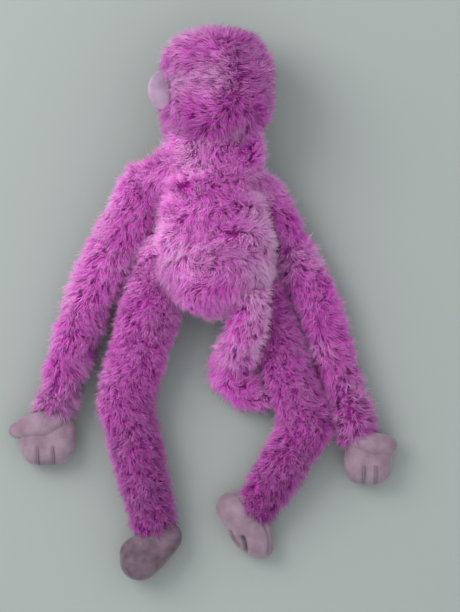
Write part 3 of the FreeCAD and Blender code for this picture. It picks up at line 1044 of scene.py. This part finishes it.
def attach_middle(skins):
    """The trunk, the neck, the head with its face, and the tail."""
    for part in ("torso", "neck", "head"):
        skin = skins[f"{part}_skin"]
        finish_skin(skin, BACKING, both(part))
        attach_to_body(skin, part)
    finish_skin(skins["muzzle_skin"], VELBOA, both("muzzle"))
    finish_skin(skins["face_skin"], VELBOA, ["face_panel"])
    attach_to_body(skins["muzzle_skin"], "head")
    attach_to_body(skins["face_skin"], "head")
    tail_nodes = both("tail:1") + both("tail:2")
    finish_skin(skins["tail_skin"], BACKING, tail_nodes)
    finish_skin(skins["tail_end_skin"], BACKING, both("tail:3"))
    attach_tail(skins["tail_skin"])
    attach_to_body(skins["tail_end_skin"], "tail_3")


def attach_limbs(skins, side):
    """One side's arm and leg, with the shoulder between the arm and the trunk."""
    arm, leg = skins[f"arm_skin_{side}"], skins[f"leg_skin_{side}"]
    arm_nodes = both(f"upper_arm:{side}") + both(f"forearm:{side}")
    leg_nodes = both(f"thigh:{side}") + both(f"shin:{side}")
    finish_skin(arm, BACKING, arm_nodes)
    finish_skin(leg, BACKING, leg_nodes)
    attach_arm()(arm)
    attach_leg()(leg)
    shoulder = skins[f"shoulder_skin_{side}"]
    finish_skin(shoulder, BACKING, both(f"shoulder:{side}"))
    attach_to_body(shoulder, f"shoulder_{side}")


def attach_smooth_parts(skins, side):
    """One side's hand with its thumb, foot and ear. The left foot's darker velboa is painted shade.
    """
    for part in ("hand", "foot"):
        skin = skins[f"{part}_skin_{side}"]
        # Painted shade: the left foot takes the darker velboa.
        finish = SHADED_VELBOA if skin.name == "foot_skin_left" else VELBOA
        finish_skin(skin, finish, both(f"{part}:{side}"))
        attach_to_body(skin, f"{part}_{side}")
    thumb = skins[f"thumb_skin_{side}"]
    finish_skin(thumb, VELBOA, [])
    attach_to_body(thumb, f"hand_{side}")
    ear = skins[f"ear_skin_{side}"]
    ear_nodes = [f"ear_cover_{side}", f"ear_padding_{side}"]
    finish_skin(ear, EAR_VELBOA, ear_nodes)
    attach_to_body(ear, f"ear_{side}")


def attach_skins(skins):
    """Rides skins on their bodies, bakes the arm, leg and tail skins in place, and hides the frame
    nodes that each stands for.
    """
    attach_middle(skins)
    for side in SIDES:
        attach_limbs(skins, side)
        attach_smooth_parts(skins, side)


def blend_across(piece):
    """Bakes a piece's transform into its mesh."""
    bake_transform(piece)


def attach_arm():
    """A way to attach the pieces of one side's arm: it bakes their transforms into their meshes."""
    return lambda piece: blend_across(piece)


def attach_leg():
    """A way to attach the pieces of one side's leg: it bakes their transforms into their meshes."""
    return lambda piece: blend_across(piece)


def attach_tail(piece):
    """Bakes the transform of a piece of the tail into its mesh."""
    blend_across(piece)


def lie_along(ends):
    """Pile that lies along a limb, towards its far end."""
    points = np.array([middle for middle, _ in ends])

    def lie(places):
        gaps = [np.linalg.norm(places - (a + b) / 2, axis=1) for a, b in zip(points, points[1:])]
        nearest = np.argmin(gaps, axis=0)
        return unit(points[1:] - points[:-1])[nearest]

    return lie


def lie_down(places):
    """Pile on the trunk and the neck: towards the feet."""
    return np.tile([0.0, -1.0, 0.0], (len(places), 1))


def lie_from_parting(places):
    """Pile on the head: away from a parting that runs up the back of the head."""
    start, end = (np.array(HEAD_CROWN + step) for step in PARTING)
    way = end - start
    share = np.clip((places - start) @ way / (way @ way), 0, 1)
    return unit(places - start - share[:, None] * way) + PARTING_FALL


def in_face(places):
    """Which places lie under the face panel, where no pile grows."""
    middle = (FACE_LOW + FACE_HIGH) / 2
    radius = (FACE_HIGH.x - FACE_LOW.x) / 2
    across = np.linalg.norm(places[:, :2] - (middle.x, middle.y), axis=1)
    return (across < radius) & (places[:, 2] < FACE_HIGH.z)


def smooth_step(values, low, high):
    """Runs smoothly from 0 at low to 1 at high."""
    share = np.clip((values - low) / (high - low), 0, 1)
    return share * share * (3 - 2 * share)


def trunk_frost(places):
    """Paler pile on the right of the trunk, above the tail."""
    across = smooth_step(places[:, 0], *PATCH_ACROSS)
    lower = 1 - smooth_step(places[:, 1], *PATCH_UPWARD)
    return TRUNK_FROST + PATCH_FROST * across * lower


def tail_frost(places):
    """The tail's pile is pale on its right side and deep magenta on its left."""
    middle = joint_place("tail_middle_lift").x
    low, high = (middle + step for step in TAIL_EDGE)
    return TAIL_FROST + TAIL_EDGE_FROST * smooth_step(places[:, 0], low, high)


def tail_end_frost(places):
    """The curled end is only a little frosted."""
    return TAIL_END_FROST_SHARE * tail_frost(places)


def along_limb(ends, low, high, start=0.0):
    """A value that grows along the last stretch of a limb, from low to high."""
    near, far = (np.array(middle) for middle, _ in ends[1:])
    way = (far - near) / np.linalg.norm(far - near) ** 2
    return lambda places: low + (high - low) * smooth_step((places - near) @ way, start, 1.0)


def ride_on(body):
    """A way to attach pile: it rides on one body."""
    return lambda piece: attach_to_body(piece, body)


def grow_middle(skins):
    """The pile of the trunk, neck, head and tail. Returns how many strands it has."""
    joined = [*LEGS.values(), NECK, *ARMS.values()]
    total = grow_pile(
        "torso_pile", skins["torso_skin"], lie_down, ride_on("torso"), hidden_by=joined,
        frost_of=trunk_frost, ruffle=0.36, seed=1,
    )
    total += grow_pile(
        "neck_pile", skins["neck_skin"], lie_down, ride_on("neck"), hidden_by=[TRUNK, HEAD],
        frost_of=even(0.25), ruffle=0.5, seed=2,
    )
    total += grow_pile(
        "head_pile", skins["head_skin"], lie_from_parting, ride_on("head"),
        hidden_by=[NECK, EAR_BED], bare=in_face, frost_of=even(0.12), deep_of=even(0.9),
        ruffle=0.3, seed=3,
    )
    total += grow_pile(
        "tail_pile", skins["tail_skin"], lie_along(TAIL), attach_tail,
        hidden_by=[TRUNK, TAIL_END], frost_of=tail_frost, seed=4,
    )
    total += grow_pile(
        "tail_end_pile", skins["tail_end_skin"], lie_along(TAIL_END), ride_on("tail_3"),
        hidden_by=[TAIL], frost_of=tail_end_frost, seed=5,
    )
    return total


def grow_limbs(skins, number, side):
    """The pile of one side's arm and leg. Returns how many strands it has."""
    arm, leg = ARMS[side], LEGS[side]
    total = grow_pile(
        f"arm_pile_{side}", skins[f"arm_skin_{side}"], lie_along(arm), attach_arm(),
        hidden_by=[TRUNK], frost_of=along_limb(arm, low=0.14, high=0.44, start=0.2),
        deep_of=along_limb(arm, low=0.1, high=0.85), seed=6 + number,
    )
    total += grow_pile(
        f"leg_pile_{side}", skins[f"leg_skin_{side}"], lie_along(leg), attach_leg(),
        hidden_by=[TRUNK], frost_of=even(0.06),
        deep_of=along_limb(leg, low=0.65, high=1.35, start=-0.5), ruffle=0.14, length=0.8,
        seed=8 + number,
    )
    return total


def grow_all(skins):
    total = grow_middle(skins)
    for number, side in enumerate(SIDES):
        total += grow_limbs(skins, number, side)
    print("strands", total)


# ---------------------------------------------------------------- floor, light and camera


def make_camera():
    data = bpy.data.cameras.new("camera")
    data.sensor_width = SENSOR_MM
    data.lens = SENSOR_MM * (CAMERA_HEIGHT - SUBJECT_HEIGHT) / VIEW_HEIGHT
    camera = bpy.data.objects.new("camera", data)
    bpy.context.scene.collection.objects.link(camera)
    camera.location = VIEW_MIDDLE + UP * CAMERA_HEIGHT
    bpy.context.scene.camera = camera


def make_floor():
    bpy.ops.mesh.primitive_plane_add(size=FLOOR_SIZE)
    floor = bpy.context.object
    floor.name = "floor"
    n = Nodes("plain_pale_floor")
    n.shade(Base_Color=FLOOR_COLOUR, Roughness=0.9)
    floor.data.materials.append(n.material)


def make_light():
    world = bpy.data.worlds.new("soft_room")
    world.use_nodes = True
    background = world.node_tree.nodes["Background"]
    background.inputs["Color"].default_value = ROOM_COLOUR
    background.inputs["Strength"].default_value = ROOM_STRENGTH
    bpy.context.scene.world = world
    lamp = bpy.data.lights.new("window", "AREA")
    lamp.energy = WINDOW_ENERGY
    lamp.size = WINDOW_SIZE
    lamp.color = WINDOW_COLOUR
    window = bpy.data.objects.new("window", lamp)
    bpy.context.scene.collection.objects.link(window)
    window.location = WINDOW_PLACE
    window.rotation_mode = "QUATERNION"
    window.rotation_quaternion = (-window.location).to_track_quat("-Z", "Y")
    bpy.context.scene.view_settings.view_transform = "Standard"


# ---------------------------------------------------------------- the whole toy


make_camera()
make_floor()
make_light()
dress_frame_nodes()
SKINS = make_skins()
fill_skins({skin: swell_of(name) for name, skin in SKINS.items()})
sew_details(SKINS)
for skin in SKINS.values():
    rest_on_floor(skin)
attach_skins(SKINS)
grow_all(SKINS)
